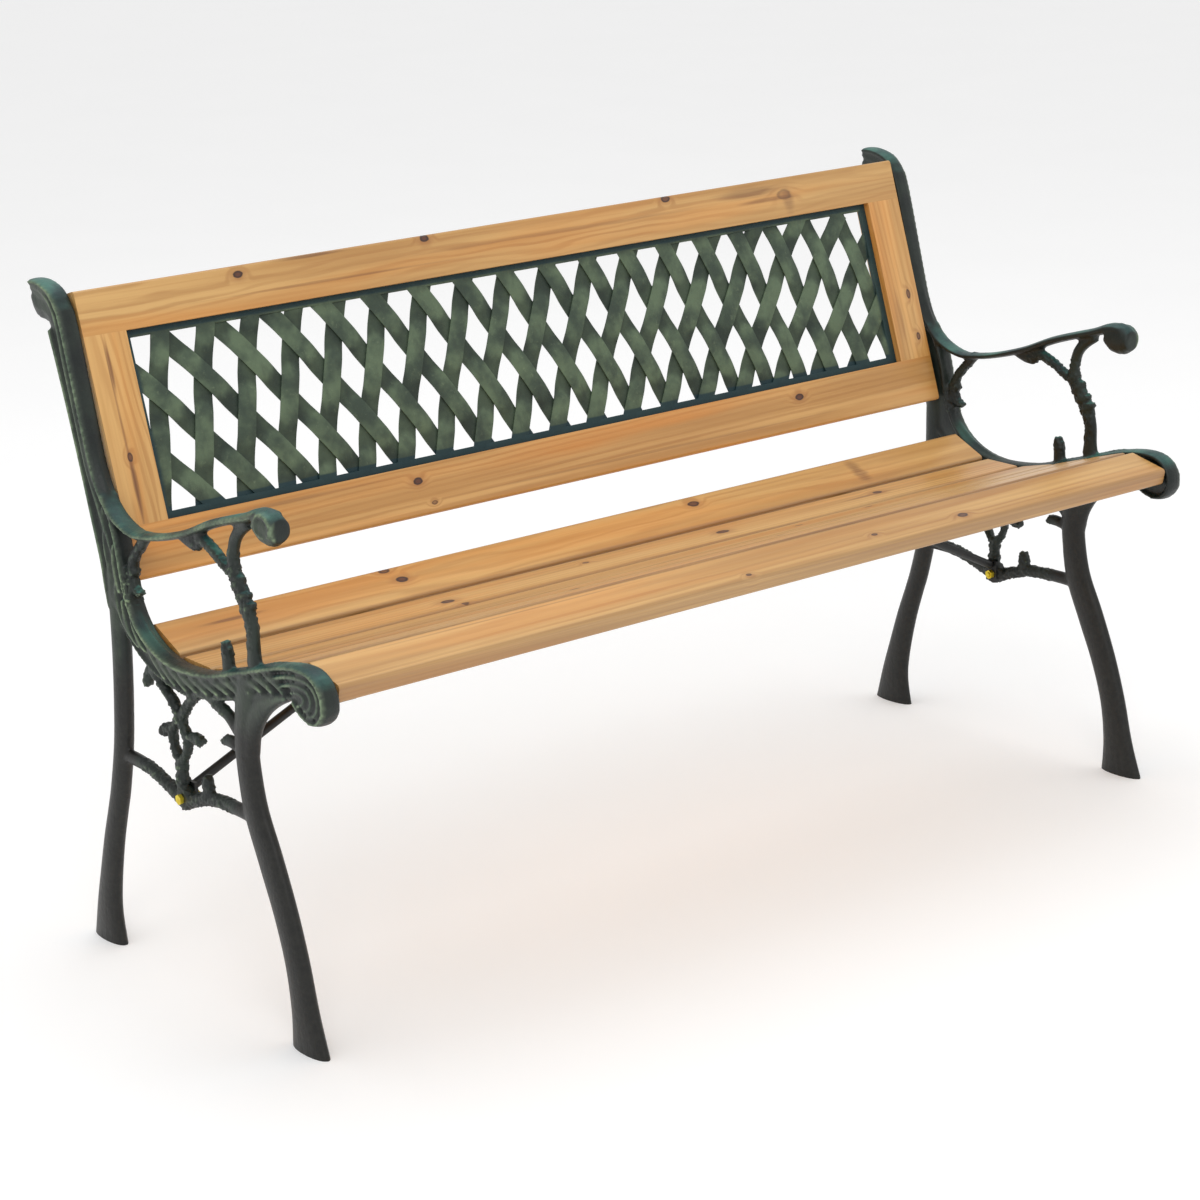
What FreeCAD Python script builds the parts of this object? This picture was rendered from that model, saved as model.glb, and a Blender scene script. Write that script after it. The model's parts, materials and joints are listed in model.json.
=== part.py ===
import FreeCAD, Part
import math
import os
import Sketcher

os.makedirs("parts", exist_ok=True)
doc = FreeCAD.newDocument("GardenBench")
Vector = FreeCAD.Vector
Rotation = FreeCAD.Rotation
Placement = FreeCAD.Placement

# Driving dimensions, all in millimetres or degrees. X runs along the bench, -Y is the front, Z is up.
SIZES = [
    ("bench_width", 1220, "outer face to outer face of the side frames"),
    ("rim_width", 24, "width of the raised rim of a side frame"),
    ("rim_depth", 6, "depth of that rim"),
    ("web_thickness", 9, "plate between rim and lower bead"),
    ("bead_width", 15, "width of the bead under the seat"),
    ("bead_depth", 6, "depth of that bead"),
    ("band_overlap", 0.6, "rim and bead stand out past the edge of the web"),
    ("upright_thickness", 12, "upright behind the rim"),
    ("leg_thickness", 20, "legs, along the bench"),
    ("twig_thickness", 12, "twig tracery and stretcher"),
    ("arm_depth", 9, "depth of the arm strip"),
    ("knob_radius", 19, "hand knob at the front of the arm"),
    ("end_gap", 1, "between the ends of the timber and the castings"),
    ("slat_count", 6, "seat slats"),
    ("slat_width", 56, "front to back"),
    ("slat_thickness", 20, "seat slats"),
    ("slat_gap", 5, "between neighbouring slats"),
    ("front_gap", 12, "between the first two slats, over the crest"),
    ("slat_recess", 2, "slat tops below the rim"),
    ("slat_start", 15, "first slat, along the seat line from the nose of the curl"),
    ("edge_round", 4, "rounding of the timber's long edges"),
    ("lug_thickness", 6, "cast lugs that carry the timber"),
    ("lug_length", 34, "lugs, along the frame"),
    ("lug_reach", 30, "lugs, inwards from the rim"),
    ("screw_radius", 3, "shank of the seat and back screws"),
    ("screw_length", 15, "length of a screw inside the timber"),
    ("screw_clearance", 0.3, "between a shank and its hole"),
    ("head_radius", 5.5, "screw heads"),
    ("head_height", 4, "screw heads"),
    ("washer_radius", 8, "washers"),
    ("washer_thickness", 1.5, "washers"),
    ("back_height", 310, "back panel, along its slope"),
    ("back_thickness", 24, "back rails and stiles"),
    ("back_angle", 16.5, "degrees that the back leans"),
    ("back_foot_y", 117, "front lower edge of the back"),
    ("back_foot_z", 431, "front lower edge of the back"),
    ("top_rail_width", 49, "upper rail"),
    ("bottom_rail_width", 57, "lower rail"),
    ("stile_width", 51, "end stiles"),
    ("groove_depth", 7, "groove for the lattice"),
    ("groove_width", 6.6, "groove for the lattice"),
    ("tongue_depth", 6, "lattice border inside the groove"),
    ("lattice_thickness", 6, "cast lattice"),
    ("lattice_border", 8, "visible border of the lattice"),
    ("strap_width", 24, "lattice straps"),
    ("strap_pitch", 57.5, "strap to strap, along the bench"),
    ("strap_slope", 2.03, "rise over run of a strap at mid length"),
    ("lattice_radius", 2000, "radius of the arch that the rows follow"),
    ("strap_offset", 16, "sideways shift between the two families of straps"),
    ("strap_count", 11, "straps of one family on each side of the middle"),
    ("dowel_radius", 4, "dowels between rails and stiles"),
    ("dowel_length", 40, "dowels between rails and stiles"),
    ("dowel_share_far", 0.27, "outer dowel, as a share of the stile's width from its end"),
    ("dowel_share_near", 0.73, "inner dowel, as a share of the stile's width from its end"),
    ("rod_radius", 5, "tie rods"),
    ("tab_thickness", 4, "flattened ends of the tie rods"),
    ("tab_width", 18, "flattened ends of the tie rods"),
    ("tab_length", 26, "flattened ends of the tie rods"),
    ("node_y", 28, "stretcher node that takes the tie rod"),
    ("node_z", 216, "stretcher node that takes the tie rod"),
    ("node_radius", 13, "disc on the stretcher that takes the tie rod"),
    ("batten_x", 352, "seat battens, from the middle"),
    ("batten_width", 30, "seat battens, along the bench"),
    ("batten_thickness", 4, "seat battens"),
    ("rod_slat", 5, "slat that the tie rods are screwed to, counted from the front"),
    ("bolt_radius", 3, "tie-rod bolts"),
    ("nut_radius", 5.8, "across the corners of nuts and heads"),
    ("nut_height", 5, "nuts"),
]
sheet = doc.addObject("Spreadsheet::Sheet", "Sizes")
for row, (alias, value, note) in enumerate(SIZES, start=1):
    sheet.set(f"A{row}", alias)
    sheet.set(f"B{row}", str(value))
    sheet.set(f"C{row}", note)
    sheet.setAlias(f"B{row}", alias)
doc.recompute()


def size(alias):
    """The number that the sheet holds under this alias."""
    return float(sheet.get(alias))


HALF_WIDTH = size("bench_width") / 2
RIM_INSIDE = HALF_WIDTH - size("rim_width")
TIMBER_END = RIM_INSIDE - size("end_gap")
WEB_X = HALF_WIDTH - size("rim_width") / 2
LUG_X = RIM_INSIDE - size("lug_reach") / 2

# Outline of a side frame, as (y, z) points that smooth lines pass through.
SEAT_LINE = [(-244, 369), (-262, 376), (-268, 392), (-258, 410), (-232, 419), (-195, 415), (-150, 402),
             (-100, 387), (-50, 373), (0, 367), (35, 369), (65, 378), (90, 393), (107, 413), (115, 440),
             (118, 456)]
SEAT_BEAD = [(-214, 379), (-190, 378), (-150, 370), (-100, 355), (-50, 343), (0, 336), (30, 337), (63, 345),
             (95, 359), (130, 388), (150, 420)]
CURL_UNDERSIDE = [(-244, 369), (-228, 370), (-214, 379)]
ARM_LINE = [(-178, 567), (-150, 559), (-110, 548), (-70, 537), (-23, 519), (27, 505), (60, 499), (85, 497),
            (110, 503), (128, 513), (146, 531), (157, 553), (165, 580), (194, 692), (205, 717), (221, 732),
            (245, 738), (268, 738)]
UPRIGHT_FRONT = [(115, 440), (120, 470), (128, 496), (140, 522), (157, 553), (165, 580), (194, 692),
                 (205, 717), (221, 732), (245, 738), (268, 738)]
UPRIGHT_REAR = [(150, 400), (155, 450), (171, 500), (185, 550), (200, 600), (219, 655), (232, 688)]
HEAD_CORNERS = [(236, 693), (252, 695), (268, 738)]
KNOB_CENTRE = (-178, 548)
# Bars of a side frame: name, then (y, z, width) along each bar.
FRONT_LEG = [(-132, 372, 82), (-116, 345, 48), (-105, 314, 35), (-105, 285, 34), (-113, 240, 37),
             (-134, 193, 39), (-156, 142, 37), (-172, 92, 37), (-181, 42, 44), (-186.5, -4, 66)]
REAR_LEG = [(138, 405, 26), (139, 372, 26), (141, 340, 26), (146, 293, 26), (154, 243, 26), (168, 192, 27),
            (179, 162, 27), (194, 122, 30), (209, 72, 36), (217, 36, 46), (219.5, -4, 68)]
STRETCHER = [(152, 233, 16), (128, 233, 16), (98, 231, 15), (66, 223, 15), (30, 214, 17), (-3, 222, 15),
             (-34, 230, 15), (-78, 232, 16), (-112, 231, 16)]
TWIGS = [
    [(31, 214, 15), (32, 236, 14), (32, 258, 15)],
    [(29, 256, 10), (18, 268, 9), (14, 281, 9), (20, 295, 10), (27, 305, 13)],
    [(34, 256, 10), (43, 270, 9), (44, 285, 9), (36, 297, 10), (27, 305, 13)],
    [(27, 302, 13), (10, 321, 11), (-6, 334, 11), (-24, 345, 12)],
    [(25, 304, 13), (41, 322, 11), (58, 334, 11), (76, 346, 12)],
    [(12, 288, 9), (0, 290, 10), (-11, 288, 9)],
    [(42, 290, 9), (54, 289, 10), (66, 284, 9)],
    [(-26, 347, 9), (-52, 338, 12), (-74, 331, 14), (-92, 318, 16)],
    [(-86, 302, 14), (-74, 304, 12), (-62, 302, 8)],
    [(82, 345, 12), (86, 336, 12), (89, 328, 10)],
    [(-20, 230, 16), (-20, 242, 16), (-20, 250, 12)],
    [(-80, 372, 18), (-80, 394, 16), (-78, 409, 10)],
]
BALUSTER = [(-131, 396, 26), (-131, 412, 19), (-131, 434, 18), (-123, 455, 22), (-112, 474, 24),
            (-102, 490, 20)]
ARM_BRACES = [
    [(-103, 488, 14), (-105, 506, 14), (-110, 522, 14), (-121, 534, 14), (-138, 545, 14)],
    [(-101, 487, 12), (-92, 490, 12), (-76, 499, 12), (-57, 508, 13), (-40, 512, 14)],
    [(-50, 512, 12), (-32, 504, 20), (-10, 504, 12)],
    [(64, 494, 12), (78, 481, 12), (92, 468, 12), (101, 454, 12), (104, 440, 13), (106, 424, 16)],
    [(104, 430, 14), (96, 427, 13), (88, 426, 9)],
]


def smooth(points):
    """A smooth curve in the Y-Z plane through the points."""
    curve = Part.BSplineCurve()
    curve.interpolate([Vector(0, point[0], point[1]) for point in points])
    return curve


def polyline(points):
    """Straight edges in the Y-Z plane from point to point."""
    corners = [Vector(0, point[0], point[1]) for point in points]
    return [Part.makeLine(start, end) for start, end in zip(corners, corners[1:])]


def plate(edges, thickness):
    """A plate with this closed outline, centred on the middle plane of the right frame."""
    face = Part.Face(Part.Wire(Part.__sortEdges__(edges)))
    face.translate(Vector(WEB_X - thickness / 2, 0, 0))
    return face.extrude(Vector(thickness, 0, 0))


def band(points, left, right, thickness):
    """A bar between two offsets of a smooth line; each offset is a function of the place along it, 0 to 1."""
    curve = smooth(points)
    steps = 4 * (len(points) - 1)
    sides = {"left": [], "right": []}
    for step in range(steps + 1):
        share = step / steps
        at = curve.FirstParameter + share * (curve.LastParameter - curve.FirstParameter)
        centre = curve.value(at)
        along = curve.tangent(at)[0]
        across = Vector(0, -along.z, along.y)
        sides["left"].append(centre + across * left(share))
        sides["right"].append(centre - across * right(share))
    edges = []
    for name in sides:
        side = Part.BSplineCurve()
        side.interpolate(sides[name])
        edges.append(side.toShape())
    edges.append(Part.makeLine(sides["left"][0], sides["right"][0]))
    edges.append(Part.makeLine(sides["left"][-1], sides["right"][-1]))
    return plate(edges, thickness)


def bar(stations, thickness):
    """A bar along (y, z, width) stations."""
    points = [station[:2] for station in stations]
    lengths = [0.0]
    for start, end in zip(points, points[1:]):
        lengths.append(lengths[-1] + math.dist(start, end))
    curve = smooth(points)
    knots = [curve.parameter(Vector(0, point[0], point[1])) for point in points]
    span = curve.LastParameter - curve.FirstParameter
    places = [(knot - curve.FirstParameter) / span for knot in knots]

    def half_width(share):
        for index in range(len(places) - 1):
            if share <= places[index + 1] or index == len(places) - 2:
                part = (share - places[index]) / (places[index + 1] - places[index])
                ease = (1 - math.cos(math.pi * min(max(part, 0), 1))) / 2
                return (stations[index][2] * (1 - ease) + stations[index + 1][2] * ease) / 2

    return band(points, half_width, half_width, thickness)


def constant(value):
    """An offset that stays the same all along a band."""
    return lambda share: value


def along_x(radius, length, x, y, z):
    """A cylinder along X."""
    return Part.makeCylinder(radius, length, Vector(x, y, z), Vector(1, 0, 0))


def slat_places():
    """Placement of each slat, by the middle of its top face: its two long edges lie on the seat line."""
    line = smooth(SEAT_LINE[2:])
    distance = size("slat_start")
    places = []
    for index in range(int(size("slat_count"))):
        front = line.value(line.parameterAtDistance(distance, line.FirstParameter))
        distance += size("slat_width")
        back = line.value(line.parameterAtDistance(distance, line.FirstParameter))
        distance += size("front_gap") if index == 0 else size("slat_gap")
        tilt = math.degrees(math.atan2(back.z - front.z, back.y - front.y))
        turn = Rotation(Vector(1, 0, 0), tilt)
        recess = turn.multVec(Vector(0, 0, size("slat_recess")))
        places.append(Placement((front + back) / 2 - recess, turn))
    return places


SLAT_PLACES = slat_places()
BACK_PLACE = Placement(Vector(0, size("back_foot_y"), size("back_foot_z")),
                       Rotation(Vector(1, 0, 0), -size("back_angle")))
RAIL_MIDDLES = [size("bottom_rail_width") / 2, size("back_height") - size("top_rail_width") / 2]
PANEL_BOTTOM = size("bottom_rail_width")
PANEL_HEIGHT = size("back_height") - size("bottom_rail_width") - size("top_rail_width")
PANEL_HALF = TIMBER_END - size("stile_width")


def side_frame_shape():
    """The right side frame: one iron casting of rim, web, legs, stretcher, twigs, arm and lugs."""
    web = size("web_thickness")
    rim = size("rim_width")
    twig = size("twig_thickness")
    overlap = size("band_overlap")
    seat_edges = [smooth(SEAT_LINE).toShape(), smooth(SEAT_BEAD).toShape()]
    seat_edges += polyline([SEAT_LINE[-1], SEAT_BEAD[-1]]) + polyline(CURL_UNDERSIDE)
    back_edges = [smooth(UPRIGHT_FRONT).toShape(), smooth(UPRIGHT_REAR).toShape()]
    back_edges += polyline([UPRIGHT_FRONT[0], UPRIGHT_REAR[0]]) + polyline([UPRIGHT_REAR[-1]] + HEAD_CORNERS)
    pieces = [
        plate(back_edges, size("upright_thickness")),
        band(SEAT_LINE[1:], constant(overlap), constant(size("rim_depth")), rim),
        band(ARM_LINE, constant(overlap), constant(size("arm_depth")), rim),
        band(SEAT_BEAD, constant(size("bead_depth")), constant(overlap), size("bead_width")),
        bar(FRONT_LEG, size("leg_thickness")),
        bar(REAR_LEG, size("leg_thickness")),
        bar(STRETCHER, twig),
        bar(BALUSTER, twig),
        along_x(size("knob_radius"), rim, WEB_X - rim / 2, *KNOB_CENTRE),
        along_x(size("node_radius"), twig, WEB_X - twig / 2, size("node_y"), size("node_z")),
    ]
    pieces += [bar(stations, twig) for stations in TWIGS + ARM_BRACES]
    length = size("lug_length")
    thickness = size("lug_thickness")
    reach = WEB_X - RIM_INSIDE + size("lug_reach")
    holes = []
    for place in SLAT_PLACES:
        low = -size("slat_thickness") - thickness
        lug = Part.makeBox(reach, length, thickness, Vector(WEB_X - reach, -length / 2, low))
        hole = Part.makeCylinder(size("screw_radius") + size("screw_clearance"), 2 * thickness,
                                 Vector(LUG_X, 0, low - thickness / 2))
        pieces.append(lug.transformGeometry(place.toMatrix()))
        holes.append(hole.transformGeometry(place.toMatrix()))
    for middle in RAIL_MIDDLES:
        deep = size("back_thickness")
        lug = Part.makeBox(reach, thickness, length, Vector(WEB_X - reach, deep, middle - length / 2))
        hole = Part.makeCylinder(size("screw_radius") + size("screw_clearance"), 2 * thickness,
                                 Vector(LUG_X, deep - thickness / 2, middle), Vector(0, 1, 0))
        pieces.append(lug.transformGeometry(BACK_PLACE.toMatrix()))
        holes.append(hole.transformGeometry(BACK_PLACE.toMatrix()))
    holes.append(along_x(size("bolt_radius") + size("screw_clearance"), 3 * twig,
                         WEB_X - 1.5 * twig, size("node_y"), size("node_z")))
    casting = plate(seat_edges, web).multiFuse(pieces)
    below = Part.makeBox(2 * HALF_WIDTH, 2 * HALF_WIDTH, HALF_WIDTH, Vector(0, -HALF_WIDTH, -HALF_WIDTH))
    return casting.cut(Part.makeCompound(holes + [below])).removeSplitter()


def new_body(name):
    """An empty body whose label names its file."""
    body = doc.addObject("PartDesign::Body", name)
    body.Label = name
    return body


def new_sketch(body, name, role):
    """A sketch on one of the body's own origin planes."""
    sketch = body.newObject("Sketcher::SketchObject", name)
    planes = [plane for plane in body.Origin.OriginFeatures if plane.Role == role]
    sketch.AttachmentSupport = [(planes[0], "")]
    sketch.MapMode = "FlatFace"
    return sketch


def add_outline(sketch, corners):
    """A closed outline of straight lines; each corner is a pair of expressions in sheet names."""
    first = sketch.GeometryCount
    count = len(corners)
    for index in range(count):
        start = Vector(10 * index + 1, 5 * (index % 3) + 1, 0)
        end = Vector(10 * index + 8, 5 * ((index + 1) % 3) + 2, 0)
        sketch.addGeometry(Part.LineSegment(start, end), False)
    for index in range(count):
        following = first + (index + 1) % count
        sketch.addConstraint(Sketcher.Constraint("Coincident", first + index, 2, following, 1))
    for index, corner in enumerate(corners):
        for kind, expression in zip(("DistanceX", "DistanceY"), corner):
            number = sketch.addConstraint(Sketcher.Constraint(kind, -1, 1, first + index, 1, 1.0))
            sketch.setExpression(f"Constraints[{number}]", expression)


def add_circle(sketch, across, up, radius):
    """A circle placed and sized by expressions in sheet names."""
    number = sketch.addGeometry(Part.Circle(Vector(1, 1, 0), Vector(0, 0, 1), 1), False)
    for kind, expression in (("DistanceX", across), ("DistanceY", up)):
        constraint = sketch.addConstraint(Sketcher.Constraint(kind, -1, 1, number, 3, 1.0))
        sketch.setExpression(f"Constraints[{constraint}]", expression)
    constraint = sketch.addConstraint(Sketcher.Constraint("Radius", number, 1.0))
    sketch.setExpression(f"Constraints[{constraint}]", radius)


def add_pad(body, sketch, name, length, both_ways):
    """Raise a sketch by a length that the sheet holds."""
    pad = body.newObject("PartDesign::Pad", name)
    pad.Profile = sketch
    pad.Midplane = both_ways
    pad.setExpression("Length", length)
    doc.recompute()
    return pad


def add_holes(body, name, role, height, centres, radius, depth, reverse):
    """Blind round holes, sunk from a plane that stands off one of the origin planes."""
    sketch = new_sketch(body, name + "_sketch", role)
    sketch.setExpression("AttachmentOffset.Base.z", height)
    for across, up in centres:
        add_circle(sketch, across, up, radius)
    doc.recompute()
    solid_before = body.Shape.Volume
    pocket = body.newObject("PartDesign::Pocket", name)
    pocket.Profile = sketch
    pocket.Reversed = reverse
    pocket.setExpression("Length", depth)
    doc.recompute()
    if body.Shape.Volume >= solid_before - 1:
        raise ValueError(name + " removes nothing")


def round_long_edges(body, feature, axis, keep):
    """Round the outer edges that run along one axis, where keep says so."""
    names = []
    for number, edge in enumerate(feature.Shape.Edges, start=1):
        box = edge.BoundBox
        spans = {"x": box.XLength, "y": box.YLength, "z": box.ZLength}
        along = spans.pop(axis)
        if along > 10 and max(spans.values()) < 0.01 and keep(edge.CenterOfMass):
            names.append(f"Edge{number}")
    fillet = body.newObject("PartDesign::Fillet", body.Name + "_round")
    fillet.Base = (feature, names)
    fillet.setExpression("Radius", "Sizes.edge_round")
    doc.recompute()


HALF_TIMBER = "(Sizes.bench_width / 2 - Sizes.rim_width - Sizes.end_gap)"
LUG_MIDDLE = "(Sizes.bench_width / 2 - Sizes.rim_width - Sizes.lug_reach / 2)"
SHANK_HOLE = "Sizes.screw_radius + Sizes.screw_clearance"
PANEL_RISE = "(Sizes.back_height - Sizes.bottom_rail_width - Sizes.top_rail_width)"
DOWEL_SHARES = ["dowel_share_far", "dowel_share_near"]
DOWEL_PLACES = [f"({HALF_TIMBER} - Sizes.stile_width * Sizes.{share})" for share in DOWEL_SHARES]


def add_slat(number, place):
    """A seat slat with blind screw holes in its underside."""
    body = new_body(f"seat_slat_{number}")
    sketch = new_sketch(body, body.Name + "_section", "YZ_Plane")
    half = "Sizes.slat_width / 2"
    low = "-Sizes.slat_thickness"
    add_outline(sketch, [(f"-{half}", low), (half, low), (half, "0"), (f"-{half}", "0")])
    pad = add_pad(body, sketch, body.Name + "_pad", f"2 * {HALF_TIMBER}", True)
    round_long_edges(body, pad, "x", lambda middle: True)
    centres = [(sign + middle, "0") for middle in (LUG_MIDDLE, "Sizes.batten_x") for sign in ("-", "")]
    add_holes(body, body.Name + "_holes", "XY_Plane", low, centres, SHANK_HOLE,
              "Sizes.screw_length + 1", True)
    body.Placement = place


def rail_corners(width, groove_up):
    """Corners of a rail's section with its groove in the upper or lower edge."""
    near = "Sizes.back_thickness / 2 - Sizes.groove_width / 2"
    far = "Sizes.back_thickness / 2 + Sizes.groove_width / 2"
    deep = "Sizes.back_thickness"
    if groove_up:
        floor = f"{width} - Sizes.groove_depth"
        return [("0", "0"), (deep, "0"), (deep, width), (far, width), (far, floor), (near, floor),
                (near, width), ("0", width)]
    floor = "Sizes.groove_depth"
    return [("0", "0"), (near, "0"), (near, floor), (far, floor), (far, "0"), (deep, "0"), (deep, width),
            ("0", width)]


def add_rail(name, width, groove_up, height):
    """A back rail: grooved for the lattice, drilled for the stiles' dowels and for the lug screws."""
    body = new_body(name)
    sketch = new_sketch(body, name + "_section", "YZ_Plane")
    add_outline(sketch, rail_corners(width, groove_up))
    pad = add_pad(body, sketch, name + "_pad", f"2 * {HALF_TIMBER}", True)
    outer = 0 if groove_up else size(width.split(".")[1])
    round_long_edges(body, pad, "x", lambda middle: abs(middle.z - outer) < 1)
    dowels = [(sign + place, "Sizes.back_thickness / 2") for place in DOWEL_PLACES for sign in ("-", "")]
    add_holes(body, name + "_dowels", "XY_Plane", width if groove_up else "0", dowels,
              "Sizes.dowel_radius + Sizes.screw_clearance", "Sizes.dowel_length / 2 + 1", not groove_up)
    screws = [(sign + LUG_MIDDLE, f"{width} / 2") for sign in ("-", "")]
    add_holes(body, name + "_screws", "XZ_Plane", "-Sizes.back_thickness", screws, SHANK_HOLE,
              "Sizes.screw_length + 1", True)
    body.Placement = BACK_PLACE.multiply(Placement(Vector(0, 0, height), Rotation()))


def add_stile(name, place):
    """A back stile between the rails, grooved on its inner edge."""
    body = new_body(name)
    sketch = new_sketch(body, name + "_section", "XY_Plane")
    near = "Sizes.back_thickness / 2 - Sizes.groove_width / 2"
    far = "Sizes.back_thickness / 2 + Sizes.groove_width / 2"
    wide = "Sizes.stile_width"
    deep = "Sizes.back_thickness"
    add_outline(sketch, [("0", "0"), (wide, "0"), (wide, deep), ("0", deep), ("0", far),
                         ("Sizes.groove_depth", far), ("Sizes.groove_depth", near), ("0", near)])
    add_pad(body, sketch, name + "_pad", PANEL_RISE, False)
    centres = [(f"Sizes.stile_width * Sizes.{share}", "Sizes.back_thickness / 2") for share in DOWEL_SHARES]
    radius = "Sizes.dowel_radius + Sizes.screw_clearance"
    add_holes(body, name + "_low", "XY_Plane", "0", centres, radius, "Sizes.dowel_length / 2 + 1", True)
    add_holes(body, name + "_high", "XY_Plane", PANEL_RISE, centres, radius,
              "Sizes.dowel_length / 2 + 1", False)
    body.Placement = BACK_PLACE.multiply(place)


def add_shape(name, shape, place=None):
    """A sub-part whose shape is made by the functions below from the sheet's sizes."""
    feature = doc.addObject("Part::Feature", name)
    feature.Label = name
    feature.Shape = shape
    if place:
        feature.Placement = place
    return feature


def mirrored(shape):
    """The left-hand twin of a right-hand shape."""
    return shape.mirror(Vector(0, 0, 0), Vector(1, 0, 0))


def both_sides(shapes):
    """A group of separate solids and their left-hand twins."""
    return Part.makeCompound(shapes + [mirrored(shape) for shape in shapes])


def placed(shape, place):
    """A copy of a shape moved from a part's own frame into the bench's frame."""
    copy = shape.copy()
    copy.Placement = place.multiply(copy.Placement)
    return copy


def screw(at, upward, grip):
    """A screw whose head's seat is at a point; its shank runs through the grip and into the timber."""
    head = Part.makeCylinder(size("head_radius"), size("head_height"),
                             at - upward * size("head_height"), upward)
    shank = Part.makeCylinder(size("screw_radius"), grip + size("screw_length"), at, upward)
    return head.fuse(shank).removeSplitter()


def washer(at, upward):
    """A flat washer whose lower face is at a point."""
    disc = Part.makeCylinder(size("washer_radius"), size("washer_thickness"), at, upward)
    bore = Part.makeCylinder(size("screw_radius") + size("screw_clearance"),
                             size("washer_thickness"), at, upward)
    return disc.cut(bore)


def hexagon(at, axis, height):
    """A hexagonal prism for nuts and bolt heads."""
    corners = [Vector(size("nut_radius") * math.cos(math.pi * turn / 3),
                      size("nut_radius") * math.sin(math.pi * turn / 3), 0) for turn in range(7)]
    prism = Part.Face(Part.makePolygon(corners)).extrude(Vector(0, 0, height))
    return placed(prism, Placement(at, Rotation(Vector(0, 0, 1), axis)))


def lattice_shape():
    """The cast lattice in the back's own frame: a border and two crossing families of straps on an arch."""
    reach = PANEL_HALF + size("tongue_depth")
    rise = PANEL_HEIGHT + 2 * size("tongue_depth")
    thick = size("lattice_thickness")
    front = (size("back_thickness") - thick) / 2
    border = size("lattice_border")
    outer = Part.makeBox(2 * reach, thick, rise, Vector(-reach, front, PANEL_BOTTOM - size("tongue_depth")))
    inner = Part.makeBox(2 * (PANEL_HALF - border), thick, PANEL_HEIGHT - 2 * border,
                         Vector(border - PANEL_HALF, front, PANEL_BOTTOM + border))
    middle = PANEL_BOTTOM + PANEL_HEIGHT / 2
    radius = size("lattice_radius")
    slope = size("strap_slope")
    half = size("strap_width") / 2 * math.hypot(1, slope) / slope
    count = int(size("strap_count"))
    straps = []
    for lean in (-1, 1):
        for index in range(-count, count + 1):
            start = index * size("strap_pitch") - lean * size("strap_offset")
            sides = ([], [])
            for step in range(-3, 4):
                rise_here = step * PANEL_HEIGHT / 4
                for side, offset in zip(sides, (-half, half)):
                    turn = (start + offset + lean * rise_here / slope) / radius
                    side.append(Vector((radius + rise_here) * math.sin(turn), front,
                                       middle + (radius + rise_here) * math.cos(turn) - radius))
            outline = Part.makePolygon(sides[0] + sides[1][::-1] + [sides[0][0]])
            straps.append(Part.Face(outline).extrude(Vector(0, thick, 0)))
    mesh = straps[0].multiFuse(straps[1:]).common(inner)
    return outer.cut(inner).fuse(mesh).removeSplitter()


def rod_end(place):
    """Upper end of a tie rod, under a seat batten."""
    depth = size("slat_thickness") + size("batten_thickness") + size("tab_thickness") / 2
    return place.multVec(Vector(size("batten_x"), 0, -depth))


def tie_rod_shape(place):
    """The right tie rod: a round bar with a flattened, drilled tab at each end."""
    thick = size("tab_thickness")
    wide = size("tab_width")
    long = size("tab_length")
    face = WEB_X - size("twig_thickness") / 2
    foot = Part.makeBox(thick, wide, long,
                        Vector(face - thick, size("node_y") - wide / 2, size("node_z") - wide / 2))
    low = -size("slat_thickness") - size("batten_thickness") - thick
    head = placed(Part.makeBox(long, wide, thick, Vector(size("batten_x") - wide / 2, -wide / 2, low)), place)
    start = Vector(face - size("rod_radius"), size("node_y"),
                   size("node_z") + long - wide / 2 - size("rod_radius"))
    end = rod_end(place) + Vector(long - wide, 0, 0)
    run = end - start
    bar_part = Part.makeCylinder(size("rod_radius"), run.Length, start, run)
    above = placed(Part.makeBox(2 * long, 2 * wide, wide,
                                Vector(size("batten_x") - wide, -wide, low + thick)), place)
    beyond = Part.makeBox(wide, 2 * wide, 2 * wide,
                          Vector(face, size("node_y") - wide, size("node_z") - wide))
    holes = [along_x(size("bolt_radius") + size("screw_clearance"), 3 * thick, face - 2 * thick,
                     size("node_y"), size("node_z"))]
    holes.append(placed(Part.makeCylinder(size("screw_radius") + size("screw_clearance"), 6 * thick,
                                          Vector(size("batten_x"), 0, low - 3 * thick)), place))
    return foot.multiFuse([head, bar_part]).cut(Part.makeCompound([above, beyond] + holes)).removeSplitter()


def batten_shape():
    """The right seat batten: a steel strap bent to follow the slats' undersides."""
    half = size("slat_width") / 2
    depth = size("slat_thickness")
    thick = size("batten_thickness")
    upper = []
    lower = []
    for index, place in enumerate(SLAT_PLACES):
        front = -half / 2 if index == 0 else -half
        back = half / 2 if index == len(SLAT_PLACES) - 1 else half
        for edge in (front, back):
            upper.append(place.multVec(Vector(0, edge, -depth)))
            lower.append(place.multVec(Vector(0, edge, -depth - thick)))
    wide = size("batten_width")
    face = Part.Face(Part.makePolygon(upper + lower[::-1] + [upper[0]]))
    face.translate(Vector(size("batten_x") - wide / 2, 0, 0))
    holes = [placed(Part.makeCylinder(size("screw_radius") + size("screw_clearance"), 4 * thick,
                                      Vector(size("batten_x"), 0, -depth - 3 * thick)), place)
             for place in SLAT_PLACES]
    return face.extrude(Vector(wide, 0, 0)).cut(Part.makeCompound(holes))


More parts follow.
